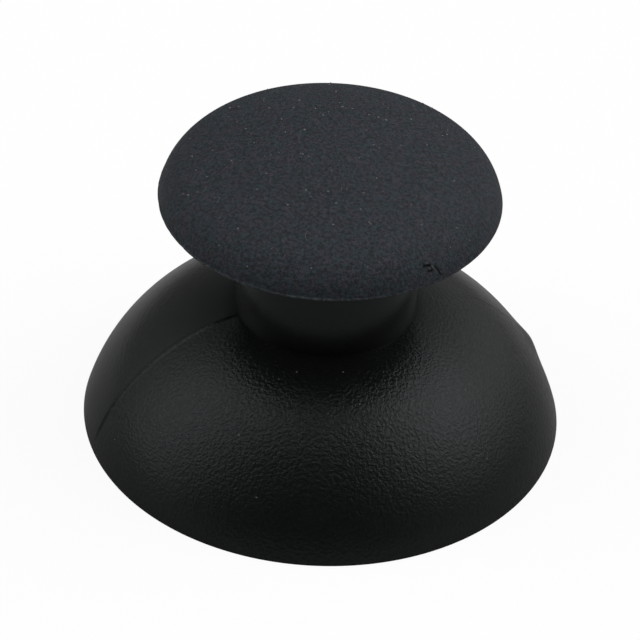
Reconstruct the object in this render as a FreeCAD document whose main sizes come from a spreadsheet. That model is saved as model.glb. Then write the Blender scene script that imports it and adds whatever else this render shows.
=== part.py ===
import FreeCAD, Part
import math
import os

import Sketcher

# Thumb stick cap: a hard moulded body with a hollow domed skirt, neck and round plate, and a soft top
# moulded over the plate. Millimetres, +Z up, origin at the middle of the seat that the skirt stands on.

DRIVING_SIZES = [
    ("rim_diameter", 25.0, "skirt across its seat"),
    ("rim_lean", 15.75, "lean of the skirt's wall at the seat, in degrees from upright"),
    ("dome_offset", 2.6, "distance from the axis of the centre of the skirt's arc"),
    ("skirt_wall", 1.3, "wall of the skirt, the same all over"),
    ("neck_diameter", 9.4, "neck"),
    ("neck_top_fillet", 0.9, "fillet between neck and plate"),
    ("cap_diameter", 17.4, "rubber top across its lip"),
    ("cap_height", 17.35, "top of the rubber above the seat"),
    ("cap_rise", 3.47, "top of the rubber above its lip"),
    ("crown_radius", 17.7, "radius of the rubber's crown"),
    ("shoulder_radius", 2.45, "radius of the rubber's shoulder"),
    ("plate_drop", 0.55, "how much thicker the plate is at the neck"),
    ("plate_edge", 1.0, "plate thickness at its edge"),
    ("rubber_edge", 1.2, "rubber round the plate's edge"),
    ("boss_diameter", 6.6, "boss that holds the shaft"),
    ("boss_recess", 1.0, "boss end above the seat"),
    ("boss_fillet", 0.3, "fillet between boss and skirt"),
    ("shaft_diameter", 4.0, "joystick shaft that the socket takes"),
    ("shaft_flats", 3.2, "shaft across its two flats"),
    ("shaft_clearance", 0.05, "gap between shaft and socket, each side"),
    ("socket_depth", 7.0, "socket, from the boss end"),
    ("socket_lead", 0.3, "chamfer at the socket's mouth"),
    ("gusset_count", 4, "gussets between boss and skirt"),
    ("gusset_angle", 45.0, "first gusset's angle from the flats, in degrees"),
    ("gusset_width", 0.8, "thickness of a gusset"),
    ("gusset_drop", 1.72, "lower edge of the gussets below the hollow's ceiling at the boss"),
]

# Reaches from the axis, heights above the seat and radii that the outlines share, as formulas of the
# driving sizes. A piece that seats on another is drawn from the same formulas.
RIM_REACH = "Sizes.rim_diameter / 2"
DOME_RADIUS = "(Sizes.rim_diameter / 2 - Sizes.dome_offset) / cos(Sizes.rim_lean)"
DOME_DROP = "(Sizes.rim_diameter / 2 - Sizes.dome_offset) * tan(Sizes.rim_lean)"
HOLLOW_RADIUS = DOME_RADIUS + " - Sizes.skirt_wall"
MID_WALL_RADIUS = DOME_RADIUS + " - Sizes.skirt_wall / 2"
NECK_REACH = "Sizes.neck_diameter / 2"
BOSS_REACH = "Sizes.boss_diameter / 2"
BOSS_ROOT = "sqrt((%s) ^ 2 - (%s - Sizes.dome_offset) ^ 2) - %s" % (HOLLOW_RADIUS, BOSS_REACH, DOME_DROP)
GUSSET_ROOT = "(Sizes.boss_diameter + Sizes.shaft_diameter) / 4"
GUSSET_LEVEL = BOSS_ROOT + " - Sizes.gusset_drop"
SOCKET_RADIUS = "Sizes.shaft_diameter / 2 + Sizes.shaft_clearance"
SOCKET_FLAT = "Sizes.shaft_flats / 2 + Sizes.shaft_clearance"
LIP_REACH = "Sizes.cap_diameter / 2"
LIP_LEVEL = "Sizes.cap_height - Sizes.cap_rise"
PLATE_REACH = LIP_REACH + " - Sizes.rubber_edge"
PLATE_TOP = LIP_LEVEL + " + Sizes.plate_edge"
NECK_TOP = LIP_LEVEL + " - Sizes.plate_drop"

TOLERANCE = 1e-4
Z_DIRECTION = FreeCAD.Vector(0, 0, 1)

doc = FreeCAD.newDocument("stick_cap")


def make_sheet():
    """The spreadsheet of driving sizes: a note, and a value under its alias."""
    sheet = doc.addObject("Spreadsheet::Sheet", "Sizes")
    for row, (alias, value, note) in enumerate(DRIVING_SIZES, 1):
        sheet.set("A%d" % row, note)
        sheet.set("B%d" % row, str(value))
        sheet.setAlias("B%d" % row, alias)
    doc.recompute()
    return sheet


sizes = make_sheet()


def size(alias):
    """One driving size as a number."""
    return float(sizes.get(alias))


def worked(formula):
    """A formula of the driving sizes as a number."""
    return float(sizes.evalExpression(formula))


def height_on_arc(centre, radius, reach):
    """Height of the upper side of an arc at a distance from the axis."""
    return centre[1] + math.sqrt(radius ** 2 - (reach - centre[0]) ** 2)


def reach_on_arc(centre, radius, height):
    """Distance from the axis of the outer side of an arc at a height."""
    return centre[0] + math.sqrt(radius ** 2 - (height - centre[1]) ** 2)


def dome_centre():
    """Centre of the skirt's arc, below the seat, so that the wall leans as it should at the rim."""
    return (size("dome_offset"), -worked(DOME_DROP))


def shoulder_centre():
    """Centre of the shoulder's arc, which runs through the lip and is tangent to the crown."""
    crown_level = size("cap_height") - size("crown_radius")
    lip = (worked(LIP_REACH), worked(LIP_LEVEL) - crown_level)
    inner = size("crown_radius") - size("shoulder_radius")
    span = math.hypot(*lip)
    along = (inner ** 2 - size("shoulder_radius") ** 2 + span ** 2) / (2 * span)
    aside = math.sqrt(inner ** 2 - along ** 2)
    reach = (lip[0] * along - lip[1] * aside) / span
    height = (lip[1] * along + lip[0] * aside) / span
    return (reach, height + crown_level)


class Outline:
    """A closed outline drawn in a sketch on one of the body's own planes."""

    def __init__(self, body, name, role, turn=0.0):
        self.sketch = body.newObject("Sketcher::SketchObject", name)
        plane = next(f for f in body.Origin.OriginFeatures if f.Role == role)
        self.sketch.AttachmentSupport = [(plane, "")]
        self.sketch.MapMode = "FlatFace"
        if turn:
            rotation = FreeCAD.Rotation(FreeCAD.Vector(0, 1, 0), turn)
            self.sketch.AttachmentOffset = FreeCAD.Placement(FreeCAD.Vector(), rotation)
        self.edges = []
        self.smooth = []

    def line(self, start, end, direction=None):
        """A straight edge, Horizontal or Vertical where a direction is given."""
        segment = Part.LineSegment(FreeCAD.Vector(*start, 0), FreeCAD.Vector(*end, 0))
        edge = self.sketch.addGeometry(segment, False)
        self.edges.append((edge, 1, 2))
        if direction:
            self.sketch.addConstraint(Sketcher.Constraint(direction, edge))
        return edge

    def arc(self, centre, start, end, hollow=False):
        """A round edge about a centre: anticlockwise where it bulges out, clockwise where it is hollow."""
        first = math.atan2(start[1] - centre[1], start[0] - centre[0])
        last = math.atan2(end[1] - centre[1], end[0] - centre[0])
        circle = Part.Circle(FreeCAD.Vector(*centre, 0), Z_DIRECTION, math.dist(centre, start))
        if hollow:
            edge = self.sketch.addGeometry(Part.ArcOfCircle(circle, last, first), False)
            self.edges.append((edge, 2, 1))
        else:
            edge = self.sketch.addGeometry(Part.ArcOfCircle(circle, first, last), False)
            self.edges.append((edge, 1, 2))
        return edge

    def round_into(self, *edges):
        """Marks edges that run on smoothly into the next one."""
        self.smooth.extend(edges)

    def close(self):
        """Joins each edge's end to the next edge's start, and smoothly where that was asked for."""
        for (edge, start, end), (following, first, last) in zip(self.edges, self.edges[1:] + self.edges[:1]):
            join = "Tangent" if edge in self.smooth else "Coincident"
            self.sketch.addConstraint(Sketcher.Constraint(join, edge, end, following, first))

    def pass_through(self, name, edge, reach_formula, height_formula):
        """Makes a straight edge's line pass through a fixed point, such as a corner before its rounding."""
        place = FreeCAD.Vector(worked(reach_formula), worked(height_formula), 0)
        point = self.sketch.addGeometry(Part.Point(place), True)
        self.reach(name + "_reach", point, 1, reach_formula)
        self.height(name + "_height", point, 1, height_formula)
        self.sketch.addConstraint(Sketcher.Constraint("PointOnObject", point, 1, edge))

    def fix(self, name, kind, where, formula):
        """A dimension with a name, tied to the driving sizes."""
        index = self.sketch.addConstraint(Sketcher.Constraint(kind, *where, worked(formula)))
        self.sketch.renameConstraint(index, name)
        self.sketch.setExpression("Constraints." + name, formula)

    def reach(self, name, edge, point, formula):
        """Fixes a point's distance from the axis."""
        self.fix(name, "DistanceX", (-1, 1, edge, point), formula)

    def height(self, name, edge, point, formula):
        """Fixes a point's height above the seat."""
        self.fix(name, "DistanceY", (-1, 1, edge, point), formula)

    def depth(self, name, edge, point, formula):
        """Fixes how far a point lies below the sketch's origin."""
        self.fix(name, "DistanceY", (edge, point, -1, 1), formula)

    def radius(self, name, edge, formula):
        """Fixes an arc's radius."""
        self.fix(name, "Radius", (edge,), formula)

    def at_origin(self, edge, point):
        """Puts a point on the sketch's origin."""
        self.sketch.addConstraint(Sketcher.Constraint("Coincident", edge, point, -1, 1))

    def on_axis(self, edge, point):
        """Puts a point on the axis."""
        self.sketch.addConstraint(Sketcher.Constraint("PointOnObject", edge, point, -2))


class Moulding:
    """One moulded piece, built up feature by feature about its vertical axis."""

    def __init__(self, name):
        self.body = doc.addObject("PartDesign::Body", name)
        self.body.Label = name
        self.axis = next(f for f in self.body.Origin.OriginFeatures if f.Role == "Z_Axis")
        self.last = None

    def outline(self, name, role="XZ_Plane", turn=0.0):
        """A new outline, upright through the axis unless it is told otherwise."""
        return Outline(self.body, name, role, turn)

    def turned(self, kind, name, outline):
        """A full turn of an outline about the axis, as a Revolution or a Groove."""
        outline.close()
        feature = self.body.newObject("PartDesign::" + kind, name)
        feature.Profile = outline.sketch
        feature.ReferenceAxis = (self.axis, [""])
        feature.Angle = 360
        self.finish(feature)

    def straight(self, kind, name, outline, formula):
        """An outline pushed straight through, as a Pad to both sides or a Pocket cut upwards."""
        outline.close()
        feature = self.body.newObject("PartDesign::" + kind, name)
        feature.Profile = outline.sketch
        if kind == "Pad":
            feature.Midplane = True
        else:
            feature.Reversed = True
        feature.setExpression("Length", formula)
        self.finish(feature)

    def around(self, name, alias):
        """Repeats the last feature evenly about the axis."""
        pattern = self.body.newObject("PartDesign::PolarPattern", name)
        pattern.Originals = [self.last]
        pattern.Axis = (self.axis, [""])
        pattern.Angle = 360
        pattern.setExpression("Occurrences", "Sizes." + alias)
        self.finish(pattern)

    def finish(self, feature):
        """Works out the new feature and makes it the piece's last one."""
        self.body.Tip = feature
        doc.recompute()
        self.last = feature

    def level_edges(self, radius, height):
        """Names of the level edges at this height that lie within a radius of the axis."""
        found = []
        for number, edge in enumerate(self.last.Shape.Edges, 1):
            box = edge.BoundBox
            level = abs(box.ZMin - height) < TOLERANCE and abs(box.ZMax - height) < TOLERANCE
            if level and max(box.XMax, box.YMax, -box.XMin, -box.YMin) < radius:
                found.append("Edge%d" % number)
        return found


def draw_outer_form(piece):
    """Outside of the moulding: seat, domed skirt, neck, and the plate with its sloping underside."""
    rim = (worked(RIM_REACH), 0.0)
    neck = worked(NECK_REACH)
    plate = worked(PLATE_REACH)
    under = worked(LIP_LEVEL)
    plate_top = worked(PLATE_TOP)
    dome = dome_centre()
    foot = (neck, height_on_arc(dome, worked(DOME_RADIUS), neck))

    slope = math.atan(size("plate_drop") / (plate - neck))
    top_fillet = size("neck_top_fillet")
    top_height = worked(NECK_TOP) + top_fillet * (math.tan(slope) - 1 / math.cos(slope))
    top_centre = (neck + top_fillet, top_height)
    slope_start = (top_centre[0] - top_fillet * math.sin(slope), top_height + top_fillet * math.cos(slope))

    form = piece.outline("outer_outline")
    seat = form.line((0.0, 0.0), rim, "Horizontal")
    skirt = form.arc(dome, rim, foot)
    wall = form.line(foot, (neck, top_height), "Vertical")
    top = form.arc(top_centre, (neck, top_height), slope_start, hollow=True)
    underside = form.line(slope_start, (plate, under))
    edge = form.line((plate, under), (plate, plate_top), "Vertical")
    form.line((plate, plate_top), (0.0, plate_top), "Horizontal")
    form.line((0.0, plate_top), (0.0, 0.0), "Vertical")
    form.round_into(wall, top)

    form.at_origin(seat, 1)
    form.reach("rim_reach", seat, 2, RIM_REACH)
    form.reach("dome_offset", skirt, 3, "Sizes.dome_offset")
    form.radius("dome_radius", skirt, DOME_RADIUS)
    form.reach("neck_reach", wall, 1, NECK_REACH)
    form.radius("top_fillet", top, "Sizes.neck_top_fillet")
    form.pass_through("neck_top", underside, NECK_REACH, NECK_TOP)
    form.reach("plate_reach", edge, 1, PLATE_REACH)
    form.height("plate_under", edge, 1, LIP_LEVEL)
    form.height("plate_top", edge, 2, PLATE_TOP)
    return form


def draw_hollow(piece):
    """Hollow of the skirt, one wall inside its arc, with the boss left standing in it."""
    dome = dome_centre()
    radius = worked(HOLLOW_RADIUS)
    rim = (reach_on_arc(dome, radius, 0.0), 0.0)
    boss = worked(BOSS_REACH)
    recess = size("boss_recess")
    fillet = size("boss_fillet")
    root_centre = (boss + fillet, height_on_arc(dome, radius - fillet, boss + fillet))
    share = radius / (radius - fillet)
    ceiling_end = [a + (b - a) * share for a, b in zip(dome, root_centre)]
    hollow = piece.outline("hollow_outline")
    mouth = hollow.line((0.0, 0.0), rim, "Horizontal")
    ceiling = hollow.arc(dome, rim, ceiling_end)
    root = hollow.arc(root_centre, ceiling_end, (boss, root_centre[1]))
    wall = hollow.line((boss, root_centre[1]), (boss, recess), "Vertical")
    hollow.line((boss, recess), (0.0, recess), "Horizontal")
    hollow.line((0.0, recess), (0.0, 0.0), "Vertical")
    hollow.round_into(ceiling, root)
    hollow.at_origin(mouth, 1)
    hollow.reach("dome_offset", ceiling, 3, "Sizes.dome_offset")
    hollow.depth("dome_drop", ceiling, 3, DOME_DROP)
    hollow.radius("hollow_radius", ceiling, HOLLOW_RADIUS)
    hollow.radius("boss_fillet", root, "Sizes.boss_fillet")
    hollow.reach("boss_reach", wall, 1, BOSS_REACH)
    hollow.height("boss_end", wall, 2, "Sizes.boss_recess")
    return hollow


def draw_gusset(piece):
    """One gusset: level below, and buried in the boss and in the middle of the skirt's wall."""
    centre = dome_centre()
    radius = worked(MID_WALL_RADIUS)
    root = worked(GUSSET_ROOT)
    level = worked(GUSSET_LEVEL)
    corner = (reach_on_arc(centre, radius, level), level)
    top = (root, height_on_arc(centre, radius, root))
    gusset = piece.outline("gusset_outline", turn=size("gusset_angle"))
    lower = gusset.line((root, level), corner, "Horizontal")
    arc = gusset.arc(centre, corner, top)
    gusset.line(top, (root, level), "Vertical")
    gusset.reach("gusset_root", lower, 1, GUSSET_ROOT)
    gusset.height("gusset_level", lower, 1, GUSSET_LEVEL)
    gusset.reach("dome_offset", arc, 3, "Sizes.dome_offset")
    gusset.depth("dome_drop", arc, 3, DOME_DROP)
    gusset.radius("gusset_radius", arc, MID_WALL_RADIUS)
    gusset.sketch.setExpression("AttachmentOffset.Rotation.Angle", "Sizes.gusset_angle")
    return gusset


def draw_socket(piece):
    """Round socket with two flats, for the flatted shaft and its clearance."""
    radius = worked(SOCKET_RADIUS)
    flat = worked(SOCKET_FLAT)
    corner = math.sqrt(radius ** 2 - flat ** 2)
    socket = piece.outline("socket_outline", role="XY_Plane")
    lower = socket.line((-corner, -flat), (corner, -flat), "Horizontal")
    right = socket.arc((0.0, 0.0), (corner, -flat), (corner, flat))
    upper = socket.line((corner, flat), (-corner, flat), "Horizontal")
    left = socket.arc((0.0, 0.0), (-corner, flat), (-corner, -flat))
    socket.at_origin(right, 3)
    socket.at_origin(left, 3)
    socket.radius("socket_right", right, SOCKET_RADIUS)
    socket.radius("socket_left", left, SOCKET_RADIUS)
    socket.height("upper_flat", upper, 1, SOCKET_FLAT)
    socket.depth("lower_flat", lower, 1, SOCKET_FLAT)
    return socket


def draw_cap(piece):
    """Rubber top as a solid: level lip, round shoulder, wide crown, and back down the axis."""
    lip = (worked(LIP_REACH), worked(LIP_LEVEL))
    apex = (0.0, size("cap_height"))
    crown_centre = (0.0, size("cap_height") - size("crown_radius"))
    turn_centre = shoulder_centre()
    stretch = size("crown_radius") / math.dist(crown_centre, turn_centre)
    joint = (turn_centre[0] * stretch, crown_centre[1] + (turn_centre[1] - crown_centre[1]) * stretch)
    cap = piece.outline("cap_outline")
    floor = cap.line((0.0, lip[1]), lip, "Horizontal")
    shoulder = cap.arc(turn_centre, lip, joint)
    crown = cap.arc(crown_centre, joint, apex)
    cap.line(apex, (0.0, lip[1]), "Vertical")
    cap.round_into(shoulder)
    cap.on_axis(floor, 1)
    cap.on_axis(crown, 3)
    cap.height("lip_level", floor, 2, LIP_LEVEL)
    cap.reach("lip_reach", floor, 2, LIP_REACH)
    cap.radius("shoulder", shoulder, "Sizes.shoulder_radius")
    cap.radius("crown", crown, "Sizes.crown_radius")
    cap.height("apex", crown, 2, "Sizes.cap_height")
    return cap


def draw_plate_seat(piece):
    """Section of the room that the plate takes up inside the rubber."""
    reach = worked(PLATE_REACH)
    lip = worked(LIP_LEVEL)
    top = worked(PLATE_TOP)
    seat = piece.outline("plate_outline")
    floor = seat.line((0.0, lip), (reach, lip), "Horizontal")
    wall = seat.line((reach, lip), (reach, top), "Vertical")
    seat.line((reach, top), (0.0, top), "Horizontal")
    seat.line((0.0, top), (0.0, lip), "Vertical")
    seat.on_axis(floor, 1)
    seat.height("lip_level", floor, 1, LIP_LEVEL)
    seat.reach("plate_reach", wall, 1, PLATE_REACH)
    seat.height("plate_top", wall, 2, PLATE_TOP)
    return seat


def make_stick_body():
    """The hard moulding: skirt, neck and plate outside; boss, gussets and socket inside."""
    piece = Moulding("stick_body")
    piece.turned("Revolution", "outer_form", draw_outer_form(piece))
    piece.turned("Groove", "hollow", draw_hollow(piece))
    piece.straight("Pad", "gusset", draw_gusset(piece), "Sizes.gusset_width")
    piece.around("gussets", "gusset_count")
    piece.straight("Pocket", "socket", draw_socket(piece), "Sizes.boss_recess + Sizes.socket_depth")

    mouth = piece.level_edges(worked(GUSSET_ROOT), size("boss_recess"))
    chamfer = piece.body.newObject("PartDesign::Chamfer", "socket_mouth")
    chamfer.Base = (piece.last, mouth)
    chamfer.setExpression("Size", "Sizes.socket_lead")
    piece.finish(chamfer)
    return piece.body


def make_rubber_top():
    """The soft top, moulded over the plate and round its edge."""
    piece = Moulding("rubber_top")
    piece.turned("Revolution", "cap", draw_cap(piece))
    piece.turned("Groove", "plate_seat", draw_plate_seat(piece))
    return piece.body


def check(pieces):
    """Stops if a feature failed or a piece has no sound solid."""
    doc.recompute()
    for item in doc.Objects:
        if "Invalid" in item.State or "Error" in item.State:
            raise RuntimeError("%s failed: %s" % (item.Name, item.State))
    for piece in pieces:
        shape = piece.Shape
        if shape.isNull() or not shape.isValid() or len(shape.Solids) != 1:
            raise RuntimeError("%s isn't one sound solid" % piece.Label)


def export(pieces):
    """Writes each piece to a file that bears its label."""
    os.makedirs("parts", exist_ok=True)
    for piece in pieces:
        piece.Shape.exportStep("parts/%s.step" % piece.Label)
        print("%s volume %.1f mm3" % (piece.Label, piece.Shape.Volume))


made = [make_stick_body(), make_rubber_top()]
check(made)
export(made)
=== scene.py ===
import math

import bpy
import numpy as np
from mathutils import Matrix, Vector


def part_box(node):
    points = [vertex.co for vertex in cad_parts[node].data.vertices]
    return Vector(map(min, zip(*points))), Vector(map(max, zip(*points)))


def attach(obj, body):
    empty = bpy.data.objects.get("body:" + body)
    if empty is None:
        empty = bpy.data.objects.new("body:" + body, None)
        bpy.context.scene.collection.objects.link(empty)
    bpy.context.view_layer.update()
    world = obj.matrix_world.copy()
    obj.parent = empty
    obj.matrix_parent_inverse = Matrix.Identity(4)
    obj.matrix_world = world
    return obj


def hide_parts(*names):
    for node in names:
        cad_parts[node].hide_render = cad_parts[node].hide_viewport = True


# A loose thumb stick cap stands on its skirt: a hard moulding with a hollow domed skirt, a neck and a round
# plate, and a soft round top moulded over the plate. Sizes are millimetres and angles degrees, unless a
# name says otherwise. +Z is up, the camera looks along +Y, and an azimuth is counted from +X towards +Y, so
# that the front is at 270.

MM = 0.001


def corners(node):
    """Lowest and highest corner of a CAD node, in millimetres."""
    return [np.array(corner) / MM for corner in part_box(node)]


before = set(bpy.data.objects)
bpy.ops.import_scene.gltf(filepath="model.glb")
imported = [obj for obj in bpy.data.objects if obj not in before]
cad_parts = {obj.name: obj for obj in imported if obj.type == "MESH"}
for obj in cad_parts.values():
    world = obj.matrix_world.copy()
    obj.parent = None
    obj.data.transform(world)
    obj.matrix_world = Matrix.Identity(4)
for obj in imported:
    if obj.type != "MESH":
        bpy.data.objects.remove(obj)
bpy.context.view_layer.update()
BODY_HIGH = corners("stick_body")[1]
TOP_LOW, TOP_HIGH = corners("rubber_top")

# Outline of the moulding, from the frame and the sizes that its CAD solid is drawn with.
RIM_REACH = BODY_HIGH[0]
PLATE_TOP = BODY_HIGH[2]
LIP_REACH = TOP_HIGH[0]
LIP_LEVEL = TOP_LOW[2]
CAP_TOP = TOP_HIGH[2]
RIM_LEAN = 15.75
DOME_OFFSET = 2.6
DOME_RADIUS = (RIM_REACH - DOME_OFFSET) / math.cos(math.radians(RIM_LEAN))
DOME_CENTRE = np.array([DOME_OFFSET, -DOME_RADIUS * math.sin(math.radians(RIM_LEAN))])
SKIRT_WALL = 1.3
HOLLOW_RADIUS = DOME_RADIUS - SKIRT_WALL
NECK_REACH = 4.7
NECK_TOP_FILLET = 0.9
PLATE_REACH = LIP_REACH - 1.2
NECK_TOP = LIP_LEVEL - 0.55
BOSS_REACH = 3.3
BOSS_END = 1.0
BOSS_FILLET = 0.3
SOCKET_REACH = 2.05
SOCKET_FLAT = 1.65
SOCKET_TOP = 8.0
SOCKET_LEAD = 0.3
GUSSET_WIDTH = 0.8
GUSSET_LEVEL = 4.45
GUSSET_ROOT = 2.65
GUSSET_AZIMUTHS = (45, 135, 225, 315)
EDGE_SOFTNESS = 0.1
RIM_SOFTNESS = 0.03
SHARP_ANGLE = 60
FRONT = 270

# The mould's parting line runs over the skirt in one upright plane through the axis. A low bulge stands
# where it leaves the skirt behind.
PARTING_AZIMUTH = 19.3
PARTING_WIDTH = 0.08
PARTING_HEIGHT = 0.025
PARTING_STEP = 0.035
STEP_SPREAD = 1.6
BULGE_HEIGHT = 0.16
BULGE_LEVEL = 2.3
BULGE_WIDTH = 0.9
BULGE_RISE = 0.8

# Nibs of plastic on the front of the rim, each with its azimuth and size.
NIBS = ((-95.2, 0.05), (-98.6, 0.035), (-112, 0.06))
NIB_ANGLE = 0.35
NIB_RISE = 0.12

# Outline of the soft top.
CROWN_RADIUS = 17.7
CROWN_CENTRE = np.array([0.0, CAP_TOP - CROWN_RADIUS])
SHOULDER_RADIUS = 2.45
FLASH_HEIGHT = 0.08
FLASH_LEVEL = 0.05
FLASH_WIDTH = 0.06
FLASH_AZIMUTH = 225
NICK_AZIMUTH = -53.0
NICK_REACH = 8.45
NICK_LEAN = 63
NICK_DEPTH = 0.13
CRUMB_HEIGHT = 0.06

# Dust: how many specks and fibres, and the nearest that any on the top lies to its middle.
SPECKS_ON_TOP = 115
SPECKS_ON_SKIRT = 30
FIBRES = 8
DUST_NEAREST = 1.3
FIBRE_RADIUS = 0.011

HARD = "hard_black"
SOFT = "soft_top"


# Outlines are rows of (reach, height) points.


def straight(start, end, steps):
    """Evenly spaced points on a straight line, both ends kept."""
    start = np.asarray(start, float)
    return start + (np.asarray(end, float) - start) * np.linspace(0, 1, steps + 1)[:, None]


def arc(centre, radius, first, last, steps):
    """Points on a circle, at even angles from straight up towards the outside."""
    angle = np.radians(np.linspace(first, last, steps + 1))
    return np.asarray(centre) + radius * np.stack([np.sin(angle), np.cos(angle)], -1)


def soften(before, corner, after, size, steps=4):
    """Cuts a corner by the quadratic curve that leaves one side and joins the other at size from the corner."""
    corner = np.asarray(corner, float)
    leave = np.asarray(before, float) - corner
    join = np.asarray(after, float) - corner
    leave = corner + leave * size / np.linalg.norm(leave)
    join = corner + join * size / np.linalg.norm(join)
    share = np.linspace(0, 1, steps + 1)[:, None]
    return leave * (1 - share) ** 2 + corner * 2 * share * (1 - share) + join * share ** 2


def joined(*stretches):
    """One outline from stretches that follow each other, without the points that two of them share."""
    points = np.vstack(stretches)
    apart = np.linalg.norm(np.diff(points, axis=0), axis=1) > 1e-6
    return points[np.concatenate([[True], apart])]


def outward(outline):
    """Unit normals of an outline, on the right of its direction."""
    along = np.gradient(outline, axis=0)
    along /= np.linalg.norm(along, axis=1, keepdims=True)
    return np.stack([along[:, 1], -along[:, 0]], -1)


def slope_angle(centre, point):
    """Angle of a point about a centre, from straight up towards the outside."""
    return math.degrees(math.atan2(point[0] - centre[0], point[1] - centre[1]))


def turn_from(middle, azimuth):
    """Signed angle from a middle to an azimuth, within half a turn."""
    return (azimuth - middle + 180) % 360 - 180


def azimuths(step, *finer):
    """Columns right round, in degrees: even steps, and in place of some of them finer ones about a middle."""
    columns = np.arange(0, 360, step)
    for middle, offsets in finer:
        columns = columns[np.abs(turn_from(middle, columns)) > np.max(np.abs(offsets)) + step / 4]
        columns = np.append(columns, (middle + np.asarray(offsets)) % 360)
    return np.unique(np.round(columns, 6))


def bump(distance, width):
    """Bell curve, 1 at distance 0."""
    return np.exp(-(distance / width) ** 2)


def ramp(low, high, value):
    """Smooth step, 0 at low and 1 at high."""
    share = np.clip((value - low) / (high - low), 0, 1)
    return share * share * (3 - 2 * share)


def waves(azimuth, seed, counts, fade=0.6):
    """Uneven ripple right round, within about 1: sines with whole numbers of turns and seeded phases."""
    phases = np.random.default_rng(seed).uniform(0, 2 * np.pi, len(counts))
    parts = [np.sin(n * np.radians(azimuth) + p) * fade ** k for k, (n, p) in enumerate(zip(counts, phases))]
    return np.sum(parts, axis=0) / sum(fade ** k for k in range(len(counts)))


def turned(reach, height, azimuth):
    """Places of a turned surface: the outline's reach and height, swept round by the azimuth."""
    angle = np.radians(azimuth)
    reach, height, angle = np.broadcast_arrays(reach, height, angle)
    return np.stack([reach * np.cos(angle), reach * np.sin(angle), height], -1)


def skin(places):
    """Vertices and faces of a closed skin over places[row, column]. Columns close on themselves, and the
    first and the last row are one point each."""
    rows, columns = places.shape[0] - 2, places.shape[1]
    rings = places[1:-1].reshape(-1, 3)
    points = np.vstack([rings, places[0, :1], places[-1, :1]])
    ring = np.arange(rows * columns).reshape(rows, columns)
    after = np.roll(ring, -1, axis=1)
    walls = np.stack([ring[:-1], after[:-1], after[1:], ring[1:]], -1).reshape(-1, 4)
    first = np.stack([np.full(columns, rows * columns), after[0], ring[0]], -1)
    last = np.stack([ring[-1], after[-1], np.full(columns, rows * columns + 1)], -1)
    return points, walls.tolist() + first.tolist() + last.tolist()


def piece(name, skins, marks=()):
    """A smooth mesh object at the origin from closed skins in millimetres, with its point attributes."""
    mesh = bpy.data.meshes.new(name)
    points = []
    faces = []
    start = 0
    for places in skins:
        more, around = skin(places)
        points.append(more)
        faces.extend([corner + start for corner in face] for face in around)
        start += len(more)
    mesh.from_pydata((np.vstack(points) * MM).tolist(), [], faces)
    mesh.shade_smooth()
    mesh.set_sharp_from_angle(angle=math.radians(SHARP_ANGLE))
    for mark, values in marks:
        attribute = mesh.attributes.new(mark, "FLOAT", "POINT")
        attribute.data.foreach_set("value", np.asarray(values, np.float32).ravel())
    made = bpy.data.objects.new(name, mesh)
    bpy.context.scene.collection.objects.link(made)
    return made


def per_point(grid):
    """Values of a grid in the order of a skin's points."""
    return np.concatenate([grid[1:-1].ravel(), grid[0, :1], grid[-1, :1]])


# The hard moulding.


def socket_reach(azimuth, growth):
    """Half breadth of the socket: the nearer of its round wall and its two flats, all moved out by growth."""
    across = np.maximum(np.abs(np.sin(np.radians(azimuth))), 1e-6)
    return np.minimum(SOCKET_REACH + growth, (SOCKET_FLAT + growth) / across)


def socket_rows(azimuth):
    """Reach and height rows from the socket's ceiling down its wall and out over the boss's end."""
    wall = socket_reach(azimuth, 0)
    mouth = socket_reach(azimuth, SOCKET_LEAD)
    rows = [(wall * share, SOCKET_TOP) for share in (0, 0.4, 0.8, 0.96)]
    rows += [(wall * 0.99, SOCKET_TOP - 0.02), (wall, SOCKET_TOP - 0.1)]
    lead = BOSS_END + SOCKET_LEAD
    rows += [(wall, level) for level in np.linspace(SOCKET_TOP - 0.2, lead + 0.05, 9)]
    rows += [(wall + (mouth - wall) * share, lead - SOCKET_LEAD * share) for share in (0.05, 0.5, 0.95)]
    rows += [(mouth + (BOSS_REACH - mouth) * share, BOSS_END) for share in (0.04, 0.3, 0.6)]
    reach = np.array([row[0] + 0 * azimuth for row in rows])
    height = np.array([row[1] + 0 * azimuth for row in rows])
    return reach, height


def hollow_outline():
    """From the boss's end up its wall and over the fillet, then down the hollow and over the rim's seat."""
    root = BOSS_REACH + BOSS_FILLET
    inner = HOLLOW_RADIUS - BOSS_FILLET
    root_centre = np.array([root, DOME_CENTRE[1] + math.sqrt(inner ** 2 - (root - DOME_OFFSET) ** 2)])
    edge = (DOME_OFFSET + math.sqrt(HOLLOW_RADIUS ** 2 - DOME_CENTRE[1] ** 2), 0.0)
    tangent = slope_angle(DOME_CENTRE, root_centre)
    hollow = arc(DOME_CENTRE, HOLLOW_RADIUS, tangent, slope_angle(DOME_CENTRE, edge) - 0.6, 34)
    below = (BOSS_REACH, BOSS_END)
    return joined(
        soften((0, BOSS_END), below, (BOSS_REACH, 3), EDGE_SOFTNESS),
        straight((BOSS_REACH, BOSS_END + 0.3), (BOSS_REACH, root_centre[1]), 8),
        arc(root_centre, BOSS_FILLET, -90, tangent, 6),
        hollow,
        soften(hollow[-1], edge, (RIM_REACH, 0), 0.08),
        straight((edge[0] + 0.2, 0), (RIM_REACH - 0.2, 0), 3),
    )


def skirt_outline():
    """From the seat round the rim's edge and over the dome to the foot of the neck."""
    foot = (NECK_REACH, DOME_CENTRE[1] + math.sqrt(DOME_RADIUS ** 2 - (NECK_REACH - DOME_OFFSET) ** 2))
    dome = arc(DOME_CENTRE, DOME_RADIUS, 90 - RIM_LEAN - 0.6, slope_angle(DOME_CENTRE, foot), 84)
    return joined(soften((0, 0), (RIM_REACH, 0), dome[0], RIM_SOFTNESS), dome)


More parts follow.
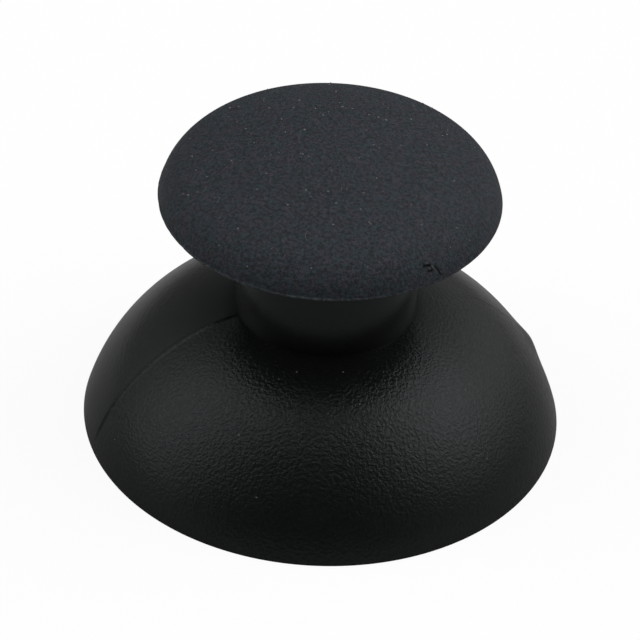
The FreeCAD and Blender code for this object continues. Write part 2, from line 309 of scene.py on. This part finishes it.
def neck_outline():
    """From the foot of the neck up to its fillet, then out along the plate's underside to its edge."""
    foot = skirt_outline()[-1]
    slope = math.atan((LIP_LEVEL - NECK_TOP) / (PLATE_REACH - NECK_REACH))
    rise = NECK_TOP_FILLET * (math.tan(slope) - 1 / math.cos(slope))
    centre = np.array([NECK_REACH + NECK_TOP_FILLET, NECK_TOP + rise])
    fillet = arc(centre, NECK_TOP_FILLET, -90, -math.degrees(slope), 9)
    edge = (PLATE_REACH, LIP_LEVEL)
    return joined(
        straight(foot, (NECK_REACH, centre[1]), 14),
        fillet,
        straight(fillet[-1], edge, 6),
        straight(edge, (PLATE_REACH, PLATE_TOP), 3),
        straight((PLATE_REACH, PLATE_TOP), (0, PLATE_TOP), 3),
    )


def parting_side(reach, azimuth):
    """Distance from the parting plane, and whether a place is on the plane's rear half."""
    angle = np.radians(azimuth - PARTING_AZIMUTH)
    return reach * np.sin(angle), np.cos(angle) > 0


def parting_relief(reach, height, azimuth):
    """How far the mould's mismatch stands out: a thin ridge in the parting plane, a step between the mould's
    two halves that fades with distance from it, and a bulge where the plane leaves the skirt behind. Behind
    the neck the ridge and the step are faint."""
    lateral, rear = parting_side(reach, azimuth)
    on_skirt = ramp(0.3, 1.6, height) * (1 - ramp(7.1, 7.3, height)) * (1 - 0.85 * rear)
    ridge = PARTING_HEIGHT * bump(lateral, PARTING_WIDTH)
    step = PARTING_STEP * np.tanh(lateral / PARTING_WIDTH) * bump(lateral, STEP_SPREAD)
    bulge = BULGE_HEIGHT * bump(lateral, BULGE_WIDTH) * bump(height - BULGE_LEVEL, BULGE_RISE) * rear
    return (ridge + step) * on_skirt + bulge


def rim_nibs(height, azimuth):
    """How far the nibs stand out: a bell curve round each one's azimuth, fading up from the seat."""
    return sum(size * bump(azimuth - where, NIB_ANGLE) for where, size in NIBS) * bump(height, NIB_RISE)


def grain_amount(reach, height, azimuth, foot):
    """How strong the leather grain is: full on the front of the dome, and weaker behind the parting plane,
    at the sides, low down and close to the foot of the neck. The neck, seat and plate have none."""
    front_half = 0.5 + 0.5 * np.tanh(-np.sin(np.radians(azimuth - PARTING_AZIMUTH)) * 40)
    facing = bump(turn_from(FRONT, azimuth), 50)
    amount = (0.5 + 0.5 * front_half) * (0.65 + 0.35 * facing) * (0.6 + 0.4 * ramp(1, 4, height))
    amount = amount * (1 - 0.6 * bump(np.hypot(reach - foot[0], height - foot[1]), 1.2))
    return amount * (reach > NECK_REACH + 0.01) * (height < foot[1])


def crease_shade_amount(reach, height, azimuth, foot):
    """How much painted shade darkens the creases: bell curves about the corner at the foot of the neck and, on
    the side of the skirt that has the parting line, about a line just beside it."""
    lateral, rear = parting_side(reach, azimuth)
    seam = bump(lateral - 0.05, 0.06) * (1 - rear) * ramp(0.5, 2.5, height) * (1 - ramp(6.9, 7.2, height))
    return 0.4 * bump(np.hypot(reach - foot[0], height - foot[1]), 0.35) + 0.7 * seam


def body_azimuths():
    """Columns of the moulding: finer across the parting line, and one at each end of the socket's flats,
    at the socket's wall and at its mouth."""
    flats = np.degrees(np.arcsin([SOCKET_FLAT / SOCKET_REACH,
                                  (SOCKET_FLAT + SOCKET_LEAD) / (SOCKET_REACH + SOCKET_LEAD)]))
    ends = [(middle, [0.0]) for flat in flats for middle in (flat, 180 - flat, 180 + flat, 360 - flat)]
    close = np.concatenate([np.arange(-0.9, 0.91, 0.1), [-2.4, -1.8, -1.3, 1.3, 1.8, 2.4]])
    return azimuths(1, (PARTING_AZIMUTH, close), (PARTING_AZIMUTH + 180, close), *ends)


def moulded_body():
    """The hard moulding as one closed skin and four gussets: socket, boss, hollow, rim, dome, neck and plate
    are outlines swept round the axis, and the relief of the parting line and the nibs moves the outside
    along its normals. The grain attribute and the attribute of painted crease shade are 0 inside and on the
    gussets."""
    azimuth = body_azimuths()[None, :]
    inside = hollow_outline()
    skirt = skirt_outline()
    outside = joined(skirt, neck_outline())
    reach, height = outside[:, :1], outside[:, 1:]
    normal = outward(outside)
    relief = parting_relief(reach, height, azimuth) * (reach > NECK_REACH - 0.01) * (height < NECK_TOP)
    relief = relief + rim_nibs(height, azimuth)
    socket = socket_rows(azimuth[0])
    reaches = np.vstack([socket[0], inside[:, :1] + 0 * azimuth, reach + relief * normal[:, :1]])
    heights = np.vstack([socket[1], inside[:, 1:] + 0 * azimuth, height + relief * normal[:, 1:]])
    body = turned(reaches, heights, azimuth)
    ribs = [gusset(turn) for turn in GUSSET_AZIMUTHS]
    within = np.zeros((len(reaches) - len(outside), azimuth.size))
    on_ribs = np.zeros(sum(per_point(rib[..., 0]).size for rib in ribs))
    marks = []
    for name, amount in (("grain", grain_amount), ("crease_shade", crease_shade_amount)):
        grid = np.vstack([within, amount(reach, height, azimuth, skirt[-1])])
        marks.append((name, np.concatenate([per_point(grid), on_ribs])))
    return piece("moulded_body", [body] + ribs, marks)


def gusset(turn):
    """One gusset as a closed skin: its outline, level below and arched above, is carried across its
    thickness and drawn in a little at both sides."""
    middle = DOME_RADIUS - SKIRT_WALL / 2
    level = GUSSET_LEVEL - DOME_CENTRE[1]
    corner = (DOME_OFFSET + math.sqrt(middle ** 2 - level ** 2), GUSSET_LEVEL)
    top = (GUSSET_ROOT, DOME_CENTRE[1] + math.sqrt(middle ** 2 - (GUSSET_ROOT - DOME_OFFSET) ** 2))
    outline = joined(
        straight((GUSSET_ROOT, GUSSET_LEVEL), corner, 6),
        arc(DOME_CENTRE, middle, slope_angle(DOME_CENTRE, corner), slope_angle(DOME_CENTRE, top), 12),
        straight(top, (GUSSET_ROOT, GUSSET_LEVEL), 3)[:-1],
    )
    heart = outline.mean(axis=0)
    half = GUSSET_WIDTH / 2
    sides = [(-half, 0), (-half, 0.95), (0.08 - half, 1), (half - 0.08, 1), (half, 0.95), (half, 0)]
    rows = [np.column_stack([heart + (outline - heart) * share, np.full(len(outline), side)])
            for side, share in sides]
    reach, height, side = np.moveaxis(np.array(rows), -1, 0)
    angle = math.radians(turn)
    return np.stack([reach * math.cos(angle) + side * math.sin(angle),
                     reach * math.sin(angle) - side * math.cos(angle), height], -1)


# The soft top.


def shoulder_centre():
    """Centre of the shoulder's arc: at its radius from the lip, and inside the crown by the same radius."""
    lip = np.array([LIP_REACH, LIP_LEVEL]) - CROWN_CENTRE
    inner = CROWN_RADIUS - SHOULDER_RADIUS
    span = np.linalg.norm(lip)
    along = (inner ** 2 - SHOULDER_RADIUS ** 2 + span ** 2) / (2 * span)
    aside = math.sqrt(inner ** 2 - along ** 2)
    return CROWN_CENTRE + (along * lip + aside * np.array([-lip[1], lip[0]])) / span


def cap_outline():
    """From the plate's top in the middle, down round its edge, out to the lip and over shoulder and crown."""
    centre = shoulder_centre()
    joint = slope_angle(CROWN_CENTRE, centre)
    lip = np.array([LIP_REACH, LIP_LEVEL])
    lip_angle = slope_angle(centre, lip)
    shoulder = arc(centre, SHOULDER_RADIUS, lip_angle - 1.5, joint, 96)
    crown = arc(CROWN_CENTRE, CROWN_RADIUS, joint, 0, 46)
    return joined(
        straight((0, PLATE_TOP), (PLATE_REACH, PLATE_TOP), 3),
        straight((PLATE_REACH, PLATE_TOP), (PLATE_REACH, LIP_LEVEL), 3),
        straight((PLATE_REACH, LIP_LEVEL), (LIP_REACH - 0.1, LIP_LEVEL), 3),
        soften((PLATE_REACH, LIP_LEVEL), lip, shoulder[0], 0.05),
        shoulder,
        crown,
    )


def stroke(aside, along, start, end, width):
    """Bell curve about a straight stroke from start to end, by the distance to its nearest point."""
    run = np.subtract(end, start)
    share = np.clip(((aside - start[0]) * run[0] + (along - start[1]) * run[1]) / (run @ run), 0, 1)
    return bump(np.hypot(aside - start[0] - share * run[0], along - start[1] - share * run[1]), width)


def nick(aside, along):
    """Cuts and crumbs of the nick, each from 0 to 1: a torn hollow with a crumb standing in it, a sliver
    beside it, and a gash that runs on down the shoulder."""
    cuts = np.maximum.reduce([
        stroke(aside, along, (-0.34, -0.2), (-0.1, -0.17), 0.075),
        stroke(aside, along, (-0.13, 0.1), (-0.04, 0.11), 0.06),
        stroke(aside, along, (0.2, -0.12), (0.34, 0.2), 0.03) * 0.35,
        stroke(aside, along, (0.34, 0.2), (0.5, 0.52), 0.04) * 0.5,
    ])
    crumbs = np.maximum.reduce([
        stroke(aside, along, (-0.13, -0.03), (-0.1, -0.02), 0.055),
        stroke(aside, along, (-0.17, -0.33), (-0.15, -0.32), 0.05) * 0.4,
        stroke(aside, along, (0.06, -0.12), (0.14, 0.12), 0.04) * 0.4,
    ])
    return np.array([cuts, crumbs])


def rubber_cap():
    """The soft top as one closed skin, swept round the axis, with an uneven bead of flash round its lip
    and a nick cut into its shoulder. The shade attribute lightens the bead as a painted highlight, makes
    the nick's crumbs paler, and darkens its cuts as painted shadow."""
    near = np.arange(-3.6, 6.01, 0.2)
    azimuth = azimuths(1, (NICK_AZIMUTH % 360, near))[None, :]
    outline = cap_outline()
    reach, height = outline[:, :1], outline[:, 1:]
    normal = outward(outline)
    above = height > LIP_LEVEL + 1e-3
    ragged = 0.7 + 0.4 * waves(azimuth, 3, (7, 11, 17, 29, 43, 71, 113), 0.9)
    # The bead stands out more about the flash azimuth, and its painted highlight is brighter there.
    bead_fullness = 0.2 + 0.8 * bump(turn_from(FLASH_AZIMUTH, azimuth), 70)
    on_lip = reach > LIP_REACH - 0.12
    bead = bump(height - LIP_LEVEL - FLASH_LEVEL, FLASH_WIDTH) * on_lip * ragged * bead_fullness
    aside = np.radians(turn_from(NICK_AZIMUTH, azimuth)) * NICK_REACH
    lean = np.degrees(np.arctan2(normal[:, :1], normal[:, 1:]))
    on_shoulder = above * (reach > LIP_REACH - 1.75)
    cuts, crumbs = nick(aside, SHOULDER_RADIUS * np.radians(lean - NICK_LEAN)) * on_shoulder
    relief = FLASH_HEIGHT * bead - NICK_DEPTH * cuts + CRUMB_HEIGHT * crumbs
    places = turned(reach + relief * normal[:, :1], height + relief * normal[:, 1:], azimuth)
    # Painted highlight on the bead and painted shadow in the cuts; the crumbs are paler.
    shade = (1 + 1.1 * bead) * (1 - 0.9 * cuts) + 5 * crumbs
    return piece("rubber_cap", [places], [("shade", per_point(shade))])


def cap_height(reach):
    """Height of the soft top's surface at a reach: the crown's arc, or the shoulder's beyond their joint."""
    centre = shoulder_centre()
    crown = CROWN_CENTRE[1] + np.sqrt(CROWN_RADIUS ** 2 - reach ** 2)
    past = np.clip(reach - centre[0], 0, SHOULDER_RADIUS)
    shoulder = centre[1] + np.sqrt(SHOULDER_RADIUS ** 2 - past ** 2)
    joint = centre[0] * CROWN_RADIUS / np.linalg.norm(centre - CROWN_CENTRE)
    return np.where(reach < joint, crown, shoulder)


def speck(place, size):
    """One speck of dust as a closed skin: a flattened ball."""
    lean, turn = np.meshgrid(np.linspace(np.pi, 0, 6), np.linspace(0, 2 * np.pi, 7)[:-1], indexing="ij")
    ball = np.stack([np.sin(lean) * np.cos(turn), np.sin(lean) * np.sin(turn), 0.6 * np.cos(lean)], -1)
    return place + ball * size / 2


def fibre(middle, heading, length, bend):
    """One fibre of lint as a closed skin: a thin tube along a bent line that lies on the soft top, its
    radius 0 at both ends and following an ellipse between them."""
    share = np.linspace(-0.5, 0.5, 14)[:, None]
    turn = np.linspace(0, 2 * np.pi, 6)[None, :-1]
    heading = np.radians(heading + bend * share)
    thick = FIBRE_RADIUS * np.sqrt(1 - 4 * share ** 2)
    across = middle[0] + length * share * np.cos(heading) - thick * np.cos(turn) * np.sin(heading)
    along = middle[1] + length * share * np.sin(heading) + thick * np.cos(turn) * np.cos(heading)
    return np.stack([across, along, cap_height(np.hypot(across, along)) + thick * np.sin(turn)], -1)


def spread(chance, nearest, furthest, count):
    """Random reaches, even over the area between two circles: the roots of even draws of their squares."""
    return np.sqrt(chance.uniform(nearest ** 2, furthest ** 2, count))


def dust_specks():
    """Specks of dust and a few fibres, scattered over the soft top, and fewer specks over the skirt."""
    chance = np.random.default_rng(11)
    dust = []
    furthest = LIP_REACH - 0.3
    reaches = spread(chance, DUST_NEAREST, furthest, SPECKS_ON_TOP)
    for reach, azimuth in zip(reaches, chance.uniform(0, 360, SPECKS_ON_TOP)):
        place = turned(reach, cap_height(reach), azimuth)
        dust.append(speck(place, chance.uniform(0.055, 0.13)))
    leans = chance.uniform(16, 65, SPECKS_ON_SKIRT)
    for lean, azimuth in zip(leans, chance.uniform(0, 360, SPECKS_ON_SKIRT)):
        reach, height = arc(DOME_CENTRE, DOME_RADIUS, lean, lean, 0)[0]
        dust.append(speck(turned(reach, height, azimuth), chance.uniform(0.05, 0.1)))
    reaches = spread(chance, DUST_NEAREST, 7, FIBRES)
    for reach, azimuth in zip(reaches, chance.uniform(0, 360, FIBRES)):
        length, bend = chance.uniform(0.3, 0.8), chance.uniform(20, 80)
        dust.append(fibre(turned(reach, 0, azimuth), chance.uniform(0, 360), length, bend))
    return piece("dust_specks", dust)


# Materials. Grain sizes and depths are millimetres on the surface.

WORM_SIZE = 0.165
LUMP_SIZE = 0.1
PLASTIC_GRAIN_DEPTH = 0.027
RUBBER_GRAIN_SIZE = 0.17
RUBBER_GRAIN_DEPTH = 0.11


class Wire:
    """An output socket of a node tree. Arithmetic on it adds Math nodes."""

    def __init__(self, sheet, socket):
        self.sheet = sheet
        self.socket = socket

    def math(self, operation, *values):
        """The result of a Math node on these values, which are wires or numbers."""
        return self.sheet.add("Math", {"operation": operation}, dict(enumerate(values)))

    def __add__(self, other):
        return self.math("ADD", self, other)

    __radd__ = __add__

    def __mul__(self, other):
        return self.math("MULTIPLY", self, other)

    __rmul__ = __mul__

    def __sub__(self, other):
        return self.math("SUBTRACT", self, other)

    def __rsub__(self, other):
        return self.math("SUBTRACT", other, self)

    def exponential(self):
        """Euler's number to this power."""
        return self.math("EXPONENT", self)

    def at_most(self, limit):
        """The smaller of this and a limit."""
        return self.math("MINIMUM", self, limit)

    def step(self, low, high):
        """Smooth step of this value, 0 at low and 1 at high."""
        settings = {"interpolation_type": "SMOOTHSTEP"}
        return self.sheet.add("MapRange", settings, {"Value": self, "From Min": low, "From Max": high})


class Sheet:
    """A node tree that is being drawn up, for a material or for the world."""

    def __init__(self, owner):
        owner.use_nodes = True
        self.tree = owner.node_tree
        self.tree.nodes.clear()

    def add(self, kind, settings=None, sockets=None, output=0):
        """Adds a shader node: first its settings, then its sockets' values or wires. Gives one output."""
        node = self.tree.nodes.new("ShaderNode" + kind)
        for name, value in (settings or {}).items():
            setattr(node, name, value)
        for name, value in (sockets or {}).items():
            if isinstance(value, Wire):
                self.tree.links.new(value.socket, node.inputs[name])
            else:
                node.inputs[name].default_value = value
        return Wire(self, node.outputs[output]) if node.outputs else None

    def place(self):
        """Object coordinates in millimetres."""
        here = self.add("TexCoord", output=3)
        return self.add("VectorMath", {"operation": "SCALE"}, {0: here, "Scale": 1 / MM})

    def noise(self, place, size, detail=2.0, roughness=0.5, distortion=0.0):
        """Noise from 0 to 1 with lumps of about this size in millimetres."""
        sockets = {"Vector": place, "Scale": 1 / size, "Detail": detail, "Roughness": roughness,
                   "Distortion": distortion}
        return self.add("TexNoise", None, sockets)

    def mix(self, share, first, second):
        """A colour between two colours."""
        sockets = {0: share, 6: first, 7: second}
        return self.add("Mix", {"data_type": "RGBA"}, sockets, output=2)

    def finish(self, colour, roughness, height, depth_mm, painted_shade=None, **fixed):
        """Principled surface with a bump of this depth, its fixed sockets set by name. The share given as
        painted shade is mixed with a black surface."""
        sockets = {"Height": height, "Distance": depth_mm * MM, "Strength": 1.0}
        normal = self.add("Bump", None, sockets)
        sockets = {"Base Color": colour, "Roughness": roughness, "Normal": normal}
        sockets.update({name.replace("_", " "): value for name, value in fixed.items()})
        surface = self.add("BsdfPrincipled", None, sockets)
        if painted_shade:
            shade_black = self.add("BsdfDiffuse", None, {"Color": tint(0.001, 0.001, 0.001)})
            surface = self.add("MixShader", None, {0: painted_shade, 1: surface, 2: shade_black})
        self.add("OutputMaterial", None, {"Surface": surface})


def tint(*linear):
    """A colour for a socket."""
    return (*linear, 1.0)


def moulded_plastic():
    """Near-black plastic, semi-matte, with a fine leather grain of rounded worms: noise pushed towards its
    high and low ends. The grain attribute thins it out on the smoother parts of the moulding. Painted
    shade mixes it towards black in the valleys between the worms and, by the crease shade attribute, along
    the parting line and in the corner at the foot of the neck."""
    material = bpy.data.materials.new("moulded_plastic")
    sheet = Sheet(material)
    place = sheet.place()
    amount = sheet.add("Attribute", {"attribute_name": "grain"}, output=2)
    worms = sheet.noise(place, WORM_SIZE, detail=1.5, distortion=0.3).step(0.3, 0.7)
    lumps = sheet.noise(place, LUMP_SIZE, detail=2.0)
    height = (worms * 0.6 + lumps * 0.5) * (amount * 0.95 + 0.05)
    crease_shade = sheet.add("Attribute", {"attribute_name": "crease_shade"}, output=2)
    # Painted shade: this share is mixed with black in the worms' valleys, along the parting line and at the
    # neck's foot.
    painted_shade = (1 - worms) * amount * 0.22 + crease_shade * 0.5
    cloud = sheet.noise(place, 1.7, detail=3.0)
    colour = sheet.mix(cloud, tint(0.0078, 0.0086, 0.0083), tint(0.0112, 0.0121, 0.0117))
    roughness = sheet.noise(place, 0.6, detail=2.0) * 0.08 + 0.14 + amount * 0.08
    sheet.finish(colour, roughness, height, PLASTIC_GRAIN_DEPTH, painted_shade, Specular_IOR_Level=0.3,
                 Specular_Tint=tint(0.92, 0.97, 1.0))
    return material


def granular_rubber():
    """Blue-grey black rubber, matt, with coarse and fine grains that stand out and are lighter than the
    hollows between them, and faint teal and reddish mottling. The shade attribute makes it paler and greyer
    above 1, and darker below: a painted highlight on the lip's bead of flash, paler crumbs in the nick,
    and painted shadow in the nick's cuts."""
    material = bpy.data.materials.new("granular_rubber")
    sheet = Sheet(material)
    place = sheet.place()
    grains = sheet.noise(place, RUBBER_GRAIN_SIZE, detail=3.0, roughness=0.85)
    teal = sheet.noise(place, 0.7, detail=2.0).step(0.4, 0.6)
    aside = sheet.add("VectorMath", {"operation": "ADD"}, {0: place, 1: (7.0, 3.0, 5.0)})
    red = sheet.noise(aside, 0.35, detail=2.0).step(0.45, 0.62)
    colour = sheet.mix(teal, tint(0.0190, 0.0236, 0.0336), tint(0.0151, 0.0256, 0.0319))
    colour = sheet.mix(red * 0.6, colour, tint(0.0325, 0.0240, 0.0347))
    amount = sheet.add("Attribute", {"attribute_name": "shade"}, output=2)
    colour = sheet.mix(amount - 1, colour, tint(0.0260, 0.0270, 0.0255))
    shade = (grains.step(0.36, 0.66) * 1.9 + 0.18) * amount
    colour = sheet.add("VectorMath", {"operation": "SCALE"}, {0: colour, "Scale": shade})
    sheet.finish(colour, grains * 0.1 + 0.5, grains, RUBBER_GRAIN_DEPTH, Specular_IOR_Level=0.5,
                 Specular_Tint=tint(0.9, 0.96, 1.0))
    return material


def pale_dust():
    """Pale grey dust."""
    material = bpy.data.materials.new("pale_dust")
    sheet = Sheet(material)
    cloud = sheet.noise(sheet.place(), 0.4)
    colour = sheet.mix(cloud, tint(0.12, 0.125, 0.13), tint(0.28, 0.28, 0.28))
    sheet.finish(colour, cloud * 0.1 + 0.85, cloud, 0.005, Specular_IOR_Level=0.2)
    return material


# The studio: a pale floor, and soft light from both sides and from above.

CAMERA_ELEVATION = 37.38
CAMERA_ROLL = 2.634
CAMERA_DISTANCE = 186.4
CAMERA_LENS = 203.5
CAMERA_PIVOT = Vector((0.0, 0.0, 8.0))
FRAME_MIDDLE = Vector((-0.241, -0.999, 6.692))

# Soft lights as seen from the object: azimuth from straight behind it towards the right, elevation, width
# of the glow and its brightness.
GLOWS = {
    "right": (90, 42, 26, 1.705),
    "right_behind": (60, 42, 26, 0.422),
    "right_above": (90, 68, 18, 0.573),
    "right_wide": (90, 42, 45, 0.079),
    "left": (270, 42, 26, 1.085),
    "left_above": (270, 68, 18, 0.48),
    "left_front_above": (225, 68, 18, 0.243),
    "left_wide": (270, 42, 45, 0.146),
    "overhead": (0, 89, 14, 0.8),
    "low_left": (270, 10, 26, 0.578),
    "low_left_behind": (315, 10, 26, 0.151),
    "low_behind": (0, 10, 26, 0.16),
    "low_right_behind": (45, 10, 26, 0.539),
    "low_right": (90, 10, 26, 0.104),
    "low_right_front": (135, 10, 26, 0.045),
}

FLOOR_REACH = 3000
FLOOR_MIRRORED = 0.1


def compass(azimuth, elevation):
    """Unit vector of a direction: azimuth from +Y towards +X, and elevation above the horizon."""
    turn, rise = math.radians(azimuth), math.radians(elevation)
    return (math.sin(turn) * math.cos(rise), math.cos(turn) * math.cos(rise), math.sin(rise))


def glow_light(sheet, direction):
    """Brightness of the surroundings in a direction: a round glow for each soft light, the exponential of
    how far the direction's cosine to the glow's middle falls short of 1, by the glow's width."""
    glows = []
    for azimuth, elevation, width, strength in GLOWS.values():
        towards = {0: direction, 1: compass(azimuth, elevation)}
        cosine = sheet.add("VectorMath", {"operation": "DOT_PRODUCT"}, towards, output=1)
        narrowness = 1 / (1 - math.cos(math.radians(width)))
        glows.append(((cosine - 1) * narrowness).exponential() * strength)
    return sum(glows)


def light_studio():
    """World light: white to the camera, and the soft glows to everything else."""
    world = bpy.data.worlds.new("studio")
    bpy.context.scene.world = world
    sheet = Sheet(world)
    direction = sheet.add("TexCoord", output=0)
    light = glow_light(sheet, direction)
    to_camera = sheet.add("LightPath", output=0)
    lit = sheet.add("Background", None, {"Color": tint(1.0, 1.0, 1.0), "Strength": light})
    white = sheet.add("Background", None, {"Color": tint(1.0, 1.0, 1.0), "Strength": 1.0})
    seen = sheet.add("MixShader", None, {0: to_camera, 1: lit, 2: white})
    sheet.add("OutputWorld", None, {"Surface": seen})


def pale_floor():
    """Wide pale floor: white with the object's faint shadow to the camera, and also in what the object
    mirrors of it behind. Elsewhere the object mirrors it dimmer, the more so far away."""
    side = FLOOR_REACH * MM
    mesh = bpy.data.meshes.new("floor")
    mesh.from_pydata([(-side, -side, 0), (side, -side, 0), (side, side, 0), (-side, side, 0)], [], [(0, 1, 2, 3)])
    floor = bpy.data.objects.new("floor", mesh)
    bpy.context.scene.collection.objects.link(floor)
    material = bpy.data.materials.new("pale_floor")
    sheet = Sheet(material)
    to_camera, mirrored, through = [sheet.add("LightPath", output="Is %s Ray" % kind)
                                    for kind in ("Camera", "Glossy", "Transmission")]
    place = sheet.place()
    depth = sheet.add("SeparateXYZ", None, {0: place}, output=1)
    behind = depth.step(5, 25) * (1 - depth.step(45, 120))
    white_to = ((mirrored + through) * behind * FLOOR_MIRRORED + to_camera).at_most(1.0)
    away = sheet.add("VectorMath", {"operation": "LENGTH"}, {0: place}, output=1)
    grey = sheet.mix(away.step(15, 60), tint(0.45, 0.45, 0.45), tint(0.2, 0.2, 0.2))
    dim = sheet.add("BsdfDiffuse", None, {"Color": grey})
    matt = sheet.add("BsdfDiffuse", None, {"Color": tint(0.9, 0.9, 0.9)})
    white = sheet.add("Emission", None, {"Color": tint(1.0, 1.0, 1.0), "Strength": 1.06})
    shaded = sheet.add("MixShader", None, {0: 0.85, 1: matt, 2: white})
    seen = sheet.add("MixShader", None, {0: white_to, 1: dim, 2: shaded})
    sheet.add("OutputMaterial", None, {"Surface": seen})
    mesh.materials.append(material)
    return floor


def place_camera():
    """Long lens, looking down along +Y at the photograph's elevation and roll."""
    camera = bpy.data.objects.new("camera", bpy.data.cameras.new("camera"))
    bpy.context.scene.collection.objects.link(camera)
    camera.data.lens = CAMERA_LENS
    camera.data.clip_start = 10 * MM
    camera.data.clip_end = 20000 * MM
    back = Vector(compass(180, CAMERA_ELEVATION))
    place = CAMERA_PIVOT + back * CAMERA_DISTANCE
    look = (FRAME_MIDDLE - place).to_track_quat("-Z", "Y").to_matrix()
    roll = Matrix.Rotation(math.radians(CAMERA_ROLL), 3, "Z")
    camera.matrix_world = Matrix.Translation(place * MM) @ (look @ roll).to_4x4()
    bpy.context.scene.camera = camera


body = moulded_body()
cap = rubber_cap()
dust = dust_specks()
for made, material, slot in (
    (body, moulded_plastic(), HARD),
    (cap, granular_rubber(), SOFT),
    (dust, pale_dust(), SOFT),
):
    made.data.materials.append(material)
    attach(made, "root")
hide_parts("stick_body")
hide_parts("rubber_top")
pale_floor()
light_studio()
place_camera()
bpy.context.scene.view_settings.view_transform = "Standard"
